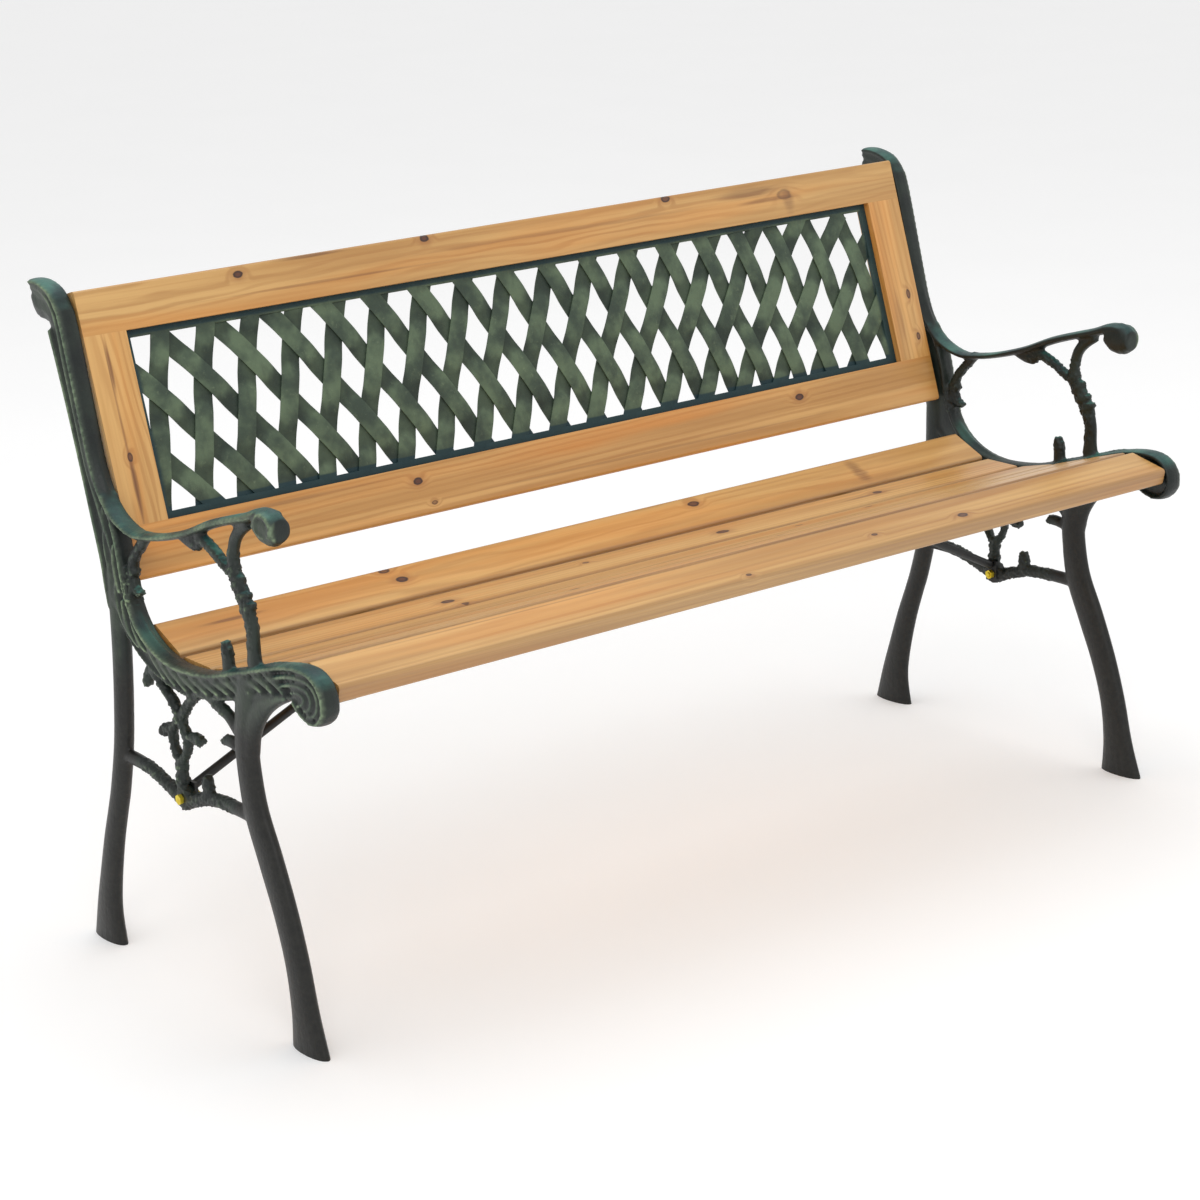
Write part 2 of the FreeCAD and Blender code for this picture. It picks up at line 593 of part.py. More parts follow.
def lug_fixings():
    """Seat of every lug's washer, with the way its screw goes in, on the right side."""
    fixings = []
    depth = size("slat_thickness") + size("lug_thickness") + size("washer_thickness")
    for place in SLAT_PLACES:
        upward = place.Rotation.multVec(Vector(0, 0, 1))
        fixings.append((place.multVec(Vector(LUG_X, 0, -depth)), upward, "seat"))
    depth = size("back_thickness") + size("lug_thickness") + size("washer_thickness")
    for middle in RAIL_MIDDLES:
        inward = BACK_PLACE.Rotation.multVec(Vector(0, -1, 0))
        fixings.append((BACK_PLACE.multVec(Vector(LUG_X, depth, middle)), inward, "back"))
    return fixings


casting = side_frame_shape()
add_shape("right_side_frame", casting)
add_shape("left_side_frame", mirrored(casting))
for slat_number, slat_place in enumerate(SLAT_PLACES, start=1):
    add_slat(slat_number, slat_place)
add_rail("back_bottom_rail", "Sizes.bottom_rail_width", True, 0)
add_rail("back_top_rail", "Sizes.top_rail_width", False, PANEL_BOTTOM + PANEL_HEIGHT)
add_stile("back_right_stile", Placement(Vector(PANEL_HALF, 0, PANEL_BOTTOM), Rotation()))
add_stile("back_left_stile", Placement(Vector(-PANEL_HALF, size("back_thickness"), PANEL_BOTTOM),
                                       Rotation(Vector(0, 0, 1), 180)))
add_shape("back_lattice", lattice_shape(), BACK_PLACE)

rod_place = SLAT_PLACES[int(size("rod_slat")) - 1]
add_shape("right_tie_rod", tie_rod_shape(rod_place))
add_shape("left_tie_rod", mirrored(tie_rod_shape(rod_place)))
add_shape("right_seat_batten", batten_shape())
add_shape("left_seat_batten", mirrored(batten_shape()))

grip = size("lug_thickness") + size("washer_thickness")
for group in ("seat", "back"):
    fixings = [fixing for fixing in lug_fixings() if fixing[2] == group]
    add_shape(group + "_washers", both_sides([washer(at, way) for at, way, _ in fixings]))
    add_shape(group + "_screws", both_sides([screw(at, way, grip) for at, way, _ in fixings]))

batten_screws = []
for place in SLAT_PLACES:
    if place is not rod_place:
        seat = place.multVec(Vector(size("batten_x"), 0, -size("slat_thickness") - size("batten_thickness")))
        batten_screws.append(screw(seat, place.Rotation.multVec(Vector(0, 0, 1)), size("batten_thickness")))
add_shape("batten_screws", both_sides(batten_screws))
rod_grip = size("batten_thickness") + size("tab_thickness")
rod_seat = rod_place.multVec(Vector(size("batten_x"), 0, -size("slat_thickness") - rod_grip))
add_shape("rod_screws", both_sides([screw(rod_seat, rod_place.Rotation.multVec(Vector(0, 0, 1)), rod_grip)]))

node_outside = WEB_X + size("twig_thickness") / 2
bolt_inner = node_outside - size("twig_thickness") - size("tab_thickness") - size("nut_height") - 2
bolt = along_x(size("bolt_radius"), node_outside - bolt_inner, bolt_inner, size("node_y"), size("node_z"))
bolt_head = hexagon(Vector(node_outside, size("node_y"), size("node_z")), Vector(1, 0, 0),
                    size("head_height"))
add_shape("tie_rod_bolts", both_sides([bolt.fuse(bolt_head).removeSplitter()]))
nut_start = node_outside - size("twig_thickness") - size("tab_thickness") - size("nut_height")
nut_bore = along_x(size("bolt_radius"), size("nut_height"), nut_start, size("node_y"), size("node_z"))
nut = hexagon(Vector(nut_start, size("node_y"), size("node_z")), Vector(1, 0, 0), size("nut_height"))
nut = nut.cut(nut_bore)
add_shape("tie_rod_nuts", both_sides([nut]))

dowels = []
for share in DOWEL_SHARES:
    for height in (PANEL_BOTTOM, PANEL_BOTTOM + PANEL_HEIGHT):
        foot = Vector(TIMBER_END - size("stile_width") * size(share), size("back_thickness") / 2,
                      height - size("dowel_length") / 2)
        dowels.append(placed(Part.makeCylinder(size("dowel_radius"), size("dowel_length"), foot), BACK_PLACE))
add_shape("back_dowels", both_sides(dowels))

doc.recompute()
subparts = [thing for thing in doc.Objects
            if thing.isDerivedFrom("PartDesign::Body") or thing.TypeId == "Part::Feature"]
for thing in doc.Objects:
    if "Invalid" in thing.State or "Error" in thing.State:
        raise ValueError(thing.Name + " did not compute")
for subpart in subparts:
    if subpart.Shape.isNull() or not subpart.Shape.isValid():
        raise ValueError(subpart.Label + " has no valid shape")
for subpart in subparts:
    subpart.Shape.exportStep(f"parts/{subpart.Label}.step")
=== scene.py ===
import json
import math

import bpy
import mathutils
import numpy
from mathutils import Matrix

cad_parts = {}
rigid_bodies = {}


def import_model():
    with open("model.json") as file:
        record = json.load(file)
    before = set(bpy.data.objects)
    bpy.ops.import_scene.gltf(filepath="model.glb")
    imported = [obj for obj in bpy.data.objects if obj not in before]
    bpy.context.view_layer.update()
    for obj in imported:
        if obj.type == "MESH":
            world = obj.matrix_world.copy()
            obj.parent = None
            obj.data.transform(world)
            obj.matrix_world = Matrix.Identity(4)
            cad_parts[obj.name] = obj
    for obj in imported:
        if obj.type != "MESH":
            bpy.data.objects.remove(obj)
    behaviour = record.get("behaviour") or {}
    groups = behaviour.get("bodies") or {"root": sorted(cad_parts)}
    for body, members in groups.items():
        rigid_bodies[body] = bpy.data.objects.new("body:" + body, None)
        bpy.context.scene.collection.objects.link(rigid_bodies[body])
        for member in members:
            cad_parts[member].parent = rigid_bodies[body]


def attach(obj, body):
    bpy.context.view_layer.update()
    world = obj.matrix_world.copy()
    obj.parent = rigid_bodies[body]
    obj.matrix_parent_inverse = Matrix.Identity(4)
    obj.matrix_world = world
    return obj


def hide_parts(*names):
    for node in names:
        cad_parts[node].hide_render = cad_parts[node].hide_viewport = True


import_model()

for spare in ("Cube", "Light", "Camera"):
    if spare in bpy.data.objects:
        bpy.data.objects.remove(bpy.data.objects[spare])
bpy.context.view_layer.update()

# Side frames: two sand-cast iron ends, a left and a right hand. Each is one casting of a rimmed seat rail
# with leaf relief, a raked upright, two legs, a stretcher, an arm, twig tracery and lugs for the timber.
# Every member is swept through its stations (y, z, width) in millimetres and the whole is fused.
MM = 0.001
CASTING_MIDDLE = 598
RELIEF_FACE = 603.5
SEAT_WEB = [(-214, 398, 36), (-185, 396, 36), (-150, 386, 34), (-100, 371, 34), (-50, 358, 31),
            (0, 351, 31), (30, 353, 33), (63, 362, 35), (92, 377, 38), (120, 402, 44), (134, 432, 42),
            (139, 462, 42)]
UPRIGHT = [(134, 432, 36), (139, 462, 40), (147, 490, 42), (157, 520, 36), (168, 550, 29), (182, 598, 28),
           (200, 655, 28), (213, 690, 32), (226, 712, 38), (242, 721, 32)]
HEAD = [(206, 690, 26), (218, 705, 36), (230, 713, 42), (242, 716, 44), (252, 717, 42), (260, 724, 26)]
HEAD_CREST = [(214, 716, 12), (228, 723, 22), (246, 727, 24), (262, 731, 16)]
CURL = [(-206, 391, 26), (-220, 390, 37), (-236, 387, 44), (-250, 386, 40), (-259, 388, 26)]
CURL_EDGE = [(-247, 366, 5), (-236, 365, 6), (-222, 369, 6), (-208, 379, 6)]
SEAT_RIM = [(-236, 364, 4), (-252, 367, 7), (-263, 379, 8), (-263, 395, 8), (-252, 409, 8), (-231, 415, 8),
            (-195, 411, 8), (-150, 398, 8), (-100, 383, 8), (-50, 369, 8), (0, 363, 8), (35, 365, 8),
            (64, 374, 8), (88, 390, 8), (103, 412, 8), (112, 440, 8), (117, 468, 8), (123, 490, 7),
            (133, 509, 5), (141, 523, 3)]
SEAT_BEAD = [(-208, 381, 7), (-190, 380, 7), (-150, 372, 7), (-100, 357, 6), (-50, 345, 6), (0, 338, 6),
             (30, 339, 6), (63, 347, 6), (95, 361, 6), (129, 389, 7), (147, 420, 8), (154, 455, 6)]
ARM = [(-184, 560, 10), (-165, 559, 13), (-140, 551, 11), (-110, 543, 10), (-70, 531, 10), (-23, 513, 9),
       (27, 499, 8), (60, 493, 8), (85, 491, 8), (110, 497, 8), (130, 508, 8), (148, 528, 8), (159, 552, 8),
       (167, 580, 8), (196, 691, 8), (207, 715, 8), (222, 729, 8), (245, 735, 8), (262, 735, 6)]
KNOB = [(-197, 547, 22), (-188, 547, 35), (-178, 548, 39), (-168, 548, 35), (-160, 550, 22)]
FRONT_LEG = [(-120, 384, 40), (-112, 350, 40), (-105, 314, 36), (-105, 285, 35), (-113, 240, 38),
             (-134, 193, 40), (-156, 142, 38), (-172, 92, 38), (-181, 42, 45), (-187.5, -6, 66)]
LEG_FLARE = [(-112, 300, 20), (-116, 322, 24), (-126, 342, 27), (-143, 359, 25), (-166, 371, 18),
             (-192, 379, 9)]
REAR_LEG = [(140, 452, 12), (138, 428, 24), (138, 405, 27), (139, 372, 27), (141, 340, 27), (146, 293, 27),
            (154, 243, 27), (168, 192, 28), (179, 162, 28), (194, 122, 31), (209, 72, 37), (217, 36, 47),
            (219.8, -6, 68)]
STRETCHER = [(152, 233, 16), (128, 233, 16), (98, 231, 15), (66, 223, 15), (30, 214, 18), (-3, 222, 15),
             (-34, 230, 15), (-78, 232, 16), (-112, 231, 16)]
TWIGS = [
    [(31, 214, 15), (32, 228, 14), (32, 246, 15), (31, 262, 15)],
    [(29, 256, 10), (18, 268, 9), (14, 281, 9), (20, 295, 10), (27, 305, 13)],
    [(34, 256, 10), (43, 270, 9), (44, 285, 9), (36, 297, 10), (27, 305, 13)],
    [(27, 302, 13), (10, 321, 11), (-6, 334, 11), (-24, 345, 12)],
    [(25, 304, 13), (41, 322, 11), (58, 334, 11), (76, 346, 12)],
    [(12, 288, 8), (2, 290, 10), (-6, 289, 15), (-12, 288, 14), (-16, 288, 6)],
    [(42, 290, 8), (51, 288, 11), (58, 285, 15), (63, 281, 13), (66, 278, 6)],
    [(-26, 347, 9), (-52, 338, 12), (-74, 331, 14), (-92, 318, 16)],
    [(-86, 302, 14), (-74, 304, 14), (-66, 303, 13), (-61, 301, 6)],
    [(80, 347, 12), (86, 338, 12), (88, 331, 14), (89, 325, 7)],
    [(-20, 230, 15), (-20, 240, 16), (-20, 248, 14), (-20, 253, 7)],
    [(-2, 222, 7), (-16, 232, 6), (-26, 243, 8)],
    [(-80, 374, 18), (-80, 392, 17), (-79, 403, 15), (-77, 411, 7)],
    [(-131, 398, 25), (-131, 412, 19), (-131, 434, 18), (-125, 452, 20), (-113, 474, 21), (-102, 490, 19)],
    [(-103, 488, 15), (-105, 506, 14), (-110, 522, 14), (-121, 534, 14), (-138, 545, 14)],
    [(-101, 487, 12), (-92, 490, 12), (-76, 499, 12), (-57, 508, 13), (-40, 512, 14)],
    [(-52, 512, 8), (-38, 506, 16), (-26, 504, 17), (-10, 505, 8)],
    [(64, 494, 12), (78, 481, 12), (92, 468, 12), (101, 454, 12), (104, 440, 13), (106, 424, 16)],
    [(106, 430, 14), (98, 428, 13), (90, 426, 9), (86, 425, 3)],
]
# Bark collars where the twigs branch: (y, z, width across the twig, lean of the collar in degrees).
COLLARS = [(-126, 455, 27, 30), (-119, 466, 25, 20), (-111, 478, 26, 45), (-103, 490, 23, 30),
           (101, 448, 18, -10), (104, 436, 19, 10), (32, 236, 19, 0), (31, 250, 17, 10), (27, 303, 18, 0),
           (27, 309, 15, 0)]
# Ribs of the leaf on the curl, of the foliage at the foot of the upright, and the flutes above it.
LEAF_RIBS = [
    [(-233, 371, 3), (-247, 374, 6), (-254, 385, 7), (-251, 398, 7), (-235, 406, 7), (-206, 404, 6),
     (-176, 396, 4)],
    [(-226, 374, 3), (-238, 378, 6), (-243, 387, 7), (-237, 396, 7), (-221, 398, 6),
     (-203, 395, 5), (-186, 390, 3)],
    [(-217, 377, 3), (-227, 381, 5), (-230, 388, 6), (-221, 391, 5), (-206, 388, 3)],
    [(72, 366, 3), (86, 373, 6), (97, 386, 6), (103, 401, 3)],
    [(88, 368, 3), (104, 379, 7), (114, 396, 7), (118, 414, 3)],
    [(105, 377, 3), (120, 392, 7), (128, 412, 7), (128, 432, 3)],
    [(122, 397, 3), (134, 414, 7), (139, 434, 7), (137, 452, 3)],
    [(121, 420, 3), (127, 438, 7), (129, 458, 7), (126, 474, 3)],
    [(134, 436, 3), (142, 454, 7), (145, 474, 6), (142, 490, 3)],
    [(130, 462, 3), (137, 480, 7), (142, 498, 6), (141, 512, 3)],
]
FLUTES = [
    [(140, 486, 6), (149, 508, 9), (158, 528, 11), (168, 552, 12), (181, 598, 12), (197, 655, 11),
     (206, 692, 9), (217, 714, 7), (233, 727, 6), (256, 732, 4)],
    [(145, 402, 4), (149, 425, 6), (153, 452, 7), (166, 498, 7), (180, 548, 7), (196, 602, 7),
     (214, 657, 7), (226, 688, 5)],
]
KNOB_LEAF = [(-191, 541, 3), (-194, 551, 5), (-186, 560, 5), (-174, 561, 5), (-167, 553, 5), (-170, 543, 4),
             (-180, 539, 3)]
ROPE_START = -192
ROPE_PITCH = 21
ROPE_STRANDS = 12
ROPE_SLANT = 34
ROPE_INSET = 4
ROPE_WIDTHS = ((0, 3), (0.3, 11), (0.7, 10), (1, 3))
# The disc that takes the tie rod's bolt: its y, z and radius, then its rings as (x, share of the radius).
BOSS = (28, 216, 13)
BOSS_RINGS = ((-8, 0.9), (-6, 1), (4, 1), (6, 0.9))
COLLAR_THICKNESS = 15
COLLAR_RINGS = ((-5, 0.7), (-2, 1), (2, 1), (5, 0.7))
FUSE = 2.1
# Areas with a bark skin, each from one (y, z) corner to the other, and how deep the bark is.
BARK = [((-70, 200), (110, 340)), ((-136, 414), (-30, 512)), ((72, 412), (110, 486)),
        ((-90, 395), (-70, 420))]
BARK_DEPTH = 1.6


def even_stations(stations, step):
    """Points on a smooth line through the stations, about one step apart, each with its width and shift."""
    points = [mathutils.Vector((tuple(station) + (0, 0))[:4]) for station in stations]
    points = [points[0] * 2 - points[1]] + points + [points[-1] * 2 - points[-2]]
    line = []
    for first, start, end, last in zip(points, points[1:], points[2:], points[3:]):
        count = max(1, round((end.xy - start.xy).length / step))
        for number in range(count):
            share = number / count
            pull = share ** 3 - share ** 2
            line.append(start * (2 * pull - share ** 2 + 1) + end * (share ** 2 - 2 * pull)
                        + (end - first) * (pull - share ** 2 + share) / 2 + (last - start) * pull / 2)
    return line + [points[-2]]


def add_ring(place, thickness, width, turn, sides):
    """Add one oval ring, turned about X; with 8 sides it is a strip's section with bevelled corners."""
    bpy.ops.mesh.select_all(action="DESELECT")
    bpy.ops.mesh.primitive_circle_add(vertices=sides, radius=0.5, location=place)
    bpy.ops.transform.rotate(value=math.pi / sides, orient_axis="Z", center_override=place)
    bpy.ops.transform.resize(value=(thickness * MM, width * MM, 1), center_override=place)
    bpy.ops.transform.rotate(value=-turn, orient_axis="X", center_override=place)


def bridge_rings():
    """Skin the rings that are in view, close the ends, and put the finished bar out of view."""
    bpy.ops.mesh.select_all(action="SELECT")
    bpy.ops.mesh.bridge_edge_loops()
    bpy.ops.mesh.select_all(action="SELECT")
    bpy.ops.mesh.fill_holes(sides=0)
    bpy.ops.mesh.normals_make_consistent(inside=False)
    bpy.ops.mesh.hide(unselected=False)


def add_bar(stations, thickness, middle=CASTING_MIDDLE, sides=16, step=7):
    """Sweep a bar through (y, z, width, shift in x) stations, all in millimetres."""
    line = even_stations(stations, step)
    for number, station in enumerate(line):
        before = line[max(number - 1, 0)]
        after = line[min(number + 1, len(line) - 1)]
        place = ((middle + station[3]) * MM, station[0] * MM, station[1] * MM)
        turn = math.atan2(before[0] - after[0], after[1] - before[1])
        add_ring(place, thickness, max(station[2], 2), turn, sides)
    bridge_rings()


def select_only(*pieces):
    """Select these pieces and nothing else; the first is active."""
    bpy.ops.object.select_all(action="DESELECT")
    for piece in pieces:
        piece.select_set(True)
    bpy.context.view_layer.objects.active = pieces[0]


def start_piece(name):
    """An empty piece, open in edit mode."""
    piece = bpy.data.objects.new(name, bpy.data.meshes.new(name))
    bpy.context.scene.collection.objects.link(piece)
    select_only(piece)
    bpy.ops.object.mode_set(mode="EDIT")
    bpy.ops.mesh.select_mode(type="VERT")
    return piece


def close_piece():
    """Show everything again and leave edit mode."""
    bpy.ops.mesh.reveal()
    bpy.ops.object.mode_set(mode="OBJECT")


def cut(place, outward):
    """Cut the open piece by a plane and throw away what lies outside it."""
    bpy.ops.mesh.select_all(action="SELECT")
    bpy.ops.mesh.bisect(plane_co=place, plane_no=outward, clear_outer=True, use_fill=False)
    bpy.ops.mesh.select_all(action="SELECT")
    bpy.ops.mesh.fill_holes(sides=0)


# Members of the casting: stations, thickness along the bench, sides of the section, and step between rings.
MEMBERS = [
    (SEAT_WEB, 9, 16, 7), (UPRIGHT, 14, 16, 7), (HEAD, 15, 8, 4), (HEAD_CREST, 18, 8, 4), (CURL, 15, 8, 5),
    (CURL_EDGE, 20, 16, 4), (SEAT_RIM, 24, 8, 7), (SEAT_BEAD, 14, 16, 7), (ARM, 24, 8, 7),
    (KNOB, 24, 16, 7), (FRONT_LEG, 20, 16, 7), (LEG_FLARE, 17, 16, 7), (REAR_LEG, 20, 16, 7),
    (STRETCHER, 13, 16, 7),
]
TWIG_THICKNESS = 12
RIB_THICKNESS = 9
FLUTE_THICKNESS = 12
right_casting = start_piece("right_casting")
for stations, thickness, sides, step in MEMBERS:
    add_bar(stations, thickness, CASTING_MIDDLE, sides, step)
for twig in TWIGS:
    add_bar(twig, TWIG_THICKNESS)
for across, up, width, lean in COLLARS:
    turn = math.radians(-lean)
    for height, share in COLLAR_RINGS:
        place = (CASTING_MIDDLE * MM, (across - height * math.sin(turn)) * MM,
                 (up + height * math.cos(turn)) * MM)
        add_ring(place, COLLAR_THICKNESS * share, width * share, turn, 12)
    bridge_rings()
for rib in LEAF_RIBS:
    add_bar(rib, RIB_THICKNESS, RELIEF_FACE, 8, 5)
for flute in FLUTES:
    add_bar(flute, FLUTE_THICKNESS, RELIEF_FACE - 0.5, 12)
add_bar(KNOB_LEAF, 7, RELIEF_FACE + 4.5, 8, 4)
rim_line = numpy.array(SEAT_RIM[5:14])
bead_line = numpy.array(SEAT_BEAD[:9])
for strand in range(ROPE_STRANDS):
    rope = []
    for share, width in ROPE_WIDTHS:
        across = ROPE_START + strand * ROPE_PITCH + ROPE_SLANT * share
        low = numpy.interp(across, bead_line[:, 0], bead_line[:, 1]) + ROPE_INSET
        high = numpy.interp(across, rim_line[:, 0], rim_line[:, 1]) - ROPE_INSET
        rope.append((across, float(low + (high - low) * share ** 0.75), width))
    add_bar(rope, RIB_THICKNESS, RELIEF_FACE, 8, 4)
for reach, share in BOSS_RINGS:
    place = ((CASTING_MIDDLE + reach) * MM, BOSS[0] * MM, BOSS[1] * MM)
    bpy.ops.mesh.select_all(action="DESELECT")
    bpy.ops.mesh.primitive_circle_add(vertices=24, radius=BOSS[2] * share * MM, location=place)
    bpy.ops.transform.rotate(value=math.pi / 2, orient_axis="Y", center_override=place)
bridge_rings()
close_piece()
fuse = right_casting.modifiers.new("fuse", "REMESH")
fuse.mode = "VOXEL"
fuse.voxel_size = FUSE * MM
soften = right_casting.modifiers.new("soften", "SMOOTH")
soften.factor = 0.5
soften.iterations = 2
bpy.ops.object.modifier_apply(modifier="fuse")
for point in right_casting.data.vertices:
    point.select = any(low[0] < point.co.y / MM < high[0] and low[1] < point.co.z / MM < high[1]
                       for low, high in BARK)
bpy.ops.object.mode_set(mode="EDIT")
bpy.ops.transform.vertex_random(offset=BARK_DEPTH * MM, uniform=0, normal=1, seed=5)
bpy.ops.object.mode_set(mode="OBJECT")
bpy.ops.object.modifier_apply(modifier="soften")
bpy.ops.object.mode_set(mode="EDIT")
cut((0, 0, 0), (0, 0, -1))
close_piece()

# Lugs: each side frame carries eight drilled lugs under the timber. Their shape and holes are the frame's
# own, cut away from it just inside the rim, drawn out into the web and joined to the casting.
LUG_CUT = 585.6
LUG_ROOT = 10
WELD = 0.02
lugs = bpy.data.objects["right_side_frame"].copy()
lugs.data = lugs.data.copy()
lugs.name = "lugs"
lugs.parent = None
bpy.context.scene.collection.objects.link(lugs)
lugs.hide_viewport = False
select_only(lugs)
bpy.ops.object.mode_set(mode="EDIT")
bpy.ops.mesh.select_mode(type="VERT")
bpy.ops.mesh.select_all(action="SELECT")
bpy.ops.mesh.remove_doubles(threshold=WELD * MM)
bpy.ops.mesh.bisect(plane_co=(LUG_CUT * MM, 0, 0), plane_no=(1, 0, 0), clear_outer=True)
bpy.ops.mesh.select_all(action="DESELECT")
bpy.ops.mesh.select_mode(type="EDGE")
bpy.ops.mesh.select_non_manifold(extend=False)
bpy.ops.mesh.extrude_region_move(TRANSFORM_OT_translate={"value": (LUG_ROOT * MM, 0, 0)})
bpy.ops.mesh.select_non_manifold(extend=False)
bpy.ops.mesh.fill_holes(sides=0)
bpy.ops.object.mode_set(mode="OBJECT")
lugs.data.materials.clear()
select_only(right_casting, lugs)
bpy.ops.object.join()
left_casting = right_casting.copy()
left_casting.data = right_casting.data.copy()
left_casting.name = "left_casting"
bpy.context.scene.collection.objects.link(left_casting)
select_only(left_casting)
bpy.ops.object.mode_set(mode="EDIT")
bpy.ops.mesh.select_all(action="SELECT")
bpy.ops.transform.resize(value=(-1, 1, 1), center_override=(0, 0, 0))
bpy.ops.mesh.normals_make_consistent(inside=False)
bpy.ops.object.mode_set(mode="OBJECT")

# Finish of the castings: black-green enamel on iron, painted light from above that turns the upward faces a
# lighter teal, pale verdigris on the raised relief's crests partly as a painted highlight along crests and
# edges, and painted shade in the creases. The legs are left satin black. The skin keeps the sand's grain
# and a few runs of paint.


def paint(red, green, blue):
    """A colour given in screen values, 0 to 255."""
    return tuple(((value / 255 + 0.055) / 1.055) ** 2.4 if value > 10 else value / 3294
                 for value in (red, green, blue)) + (1,)


class Wire:
    """An output of a shader node. Arithmetic on it adds Math nodes to its material."""

    def __init__(self, tree, socket=None):
        self.tree = tree
        self.socket = socket

    def node(self, kind, settings, values, output=0):
        """Add a node: its settings first, then the values or links of its sockets."""
        made = self.tree.nodes.new("ShaderNode" + kind)
        for name, value in settings.items():
            setattr(made, name, value)
        for name, value in values.items():
            if isinstance(value, Wire):
                self.tree.links.new(value.socket, made.inputs[name])
            else:
                made.inputs[name].default_value = value
        return Wire(self.tree, made.outputs[output])

    def math(self, operation, first, second=0.0):
        return self.node("Math", {"operation": operation}, {0: first, 1: second})

    def __add__(self, other):
        return self.math("ADD", self, other)

    def __radd__(self, other):
        return self.math("ADD", other, self)

    def __sub__(self, other):
        return self.math("SUBTRACT", self, other)

    def __rsub__(self, other):
        return self.math("SUBTRACT", other, self)

    def __mul__(self, other):
        return self.math("MULTIPLY", self, other)

    def __rmul__(self, other):
        return self.math("MULTIPLY", other, self)

    def __pow__(self, other):
        return self.math("POWER", self, other)

    def band(self, low, high):
        """A soft step from 0 at low to 1 at high."""
        settings = {"interpolation_type": "SMOOTHSTEP"}
        if low > high:
            return 1 - self.band(high, low)
        return self.node("MapRange", settings, {"Value": self, "From Min": low, "From Max": high})

    def blend(self, first, second):
        """The first colour where this is 0 and the second where it is 1."""
        return self.node("Mix", {"data_type": "RGBA"}, {0: self, 6: first, 7: second}, 2)

    def stretched(self, x, y, z):
        return self.node("VectorMath", {"operation": "MULTIPLY"}, {0: self, 1: (x, y, z)})

    def noise(self, scale, detail=3.0, roughness=0.55):
        values = {"Vector": self, "Scale": scale, "Detail": detail, "Roughness": roughness}
        return self.node("TexNoise", {}, values)


def start_finish(name):
    """A new material, its surface shader, and the wire of the place on the object."""
    material = bpy.data.materials.new(name)
    material.use_nodes = True
    shader = material.node_tree.nodes["Principled BSDF"]
    place = Wire(material.node_tree).node("TexCoord", {}, {}, 3)
    return material, shader, place


def end_finish(shader, colour, roughness, height, depth, metallic=0.0, coat=0.0, specular=0.5):
    """Feed the surface shader; height is scaled to depth metres of bump."""
    relief = height.node("Bump", {}, {"Strength": 1.0, "Distance": depth, "Height": height})
    links = height.tree.links
    links.new(colour.socket, shader.inputs["Base Color"])
    links.new(roughness.socket, shader.inputs["Roughness"])
    links.new(relief.socket, shader.inputs["Normal"])
    shader.inputs["Metallic"].default_value = metallic
    shader.inputs["Coat Weight"].default_value = coat
    shader.inputs["Coat Roughness"].default_value = 0.25
    shader.inputs["Specular IOR Level"].default_value = specular


def clothe(piece, material):
    """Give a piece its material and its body."""
    piece.data.materials.clear()
    piece.data.materials.append(material)
    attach(piece, "root")


enamel, shader, place = start_finish("cast_enamel")
axes = place.node("SeparateXYZ", {}, {0: place})
across = Wire(axes.tree, axes.socket.node.outputs["X"])
height = Wire(axes.tree, axes.socket.node.outputs["Z"])
skin = place.node("NewGeometry", {}, {}, 1)
upward = skin.node("SeparateXYZ", {}, {0: skin}, 2)
edge = place.node("NewGeometry", {}, {}, 7)
outer = across.math("ABSOLUTE", across)
cloud = place.noise(22, 4)
speck = place.noise(160, 4, 0.7)
grain = place.noise(900, 2)
runs = place.stretched(1, 1, 0.12).noise(120, 3)
depth = Wire(axes.tree, axes.socket.node.outputs["Y"]) - 0.02
tracery = depth.math("ABSOLUTE", depth).band(0.105, 0.095) * height.band(0.19, 0.24)
painted = height.band(0.31, 0.36)
painted = painted.math("MAXIMUM", painted, tracery)
# Pale verdigris on the crests of the outer relief, and a painted highlight along every convex edge of the
# painted iron.
raised = outer.band(0.6030, 0.6065) * painted * (edge.band(0.505, 0.56) * 0.85 + 0.08)
rubbed_and_highlight = (raised * (speck.band(0.30, 0.60) * 0.6 + 0.4) + edge.band(0.55, 0.62) * painted * 0.4)
rubbed_and_highlight = rubbed_and_highlight.math("MINIMUM", rubbed_and_highlight, 1.0)
# Painted light from above: upward faces of the painted iron turn a lighter teal.
top_light = upward.band(0.45, 0.95) * height.band(0.36, 0.40) * (cloud.band(0.25, 0.7) * 0.5 + 0.5)
colour = cloud.band(0.3, 0.7).blend(paint(18, 25, 24), paint(36, 46, 39))
colour = painted.blend(speck.band(0.3, 0.75).blend(paint(17, 17, 15), paint(33, 33, 29)), colour)
colour = top_light.blend(colour, cloud.band(0.35, 0.65).blend(paint(38, 76, 78), paint(66, 116, 104)))
colour = (rubbed_and_highlight * 0.9).blend(colour, cloud.band(0.3, 0.7).blend(paint(100, 122, 98), paint(156, 176, 138)))
# Painted shade: creases and hollows, where pointiness is low, darken to near black.
colour = (edge.band(0.495, 0.44) * 0.8).blend(colour, paint(9, 13, 14))
gloss = 0.33 + speck * 0.16 + rubbed_and_highlight * 0.14
end_finish(shader, colour, gloss, grain * 0.5 + speck * 1.2 + runs * 0.7, 0.0005, specular=0.38)
for casting, node in ((left_casting, "left_side_frame"), (right_casting, "right_side_frame")):
    clothe(casting, enamel)
    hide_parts(node)
    select_only(casting)
    bpy.ops.object.shade_smooth_by_angle(angle=math.radians(50))

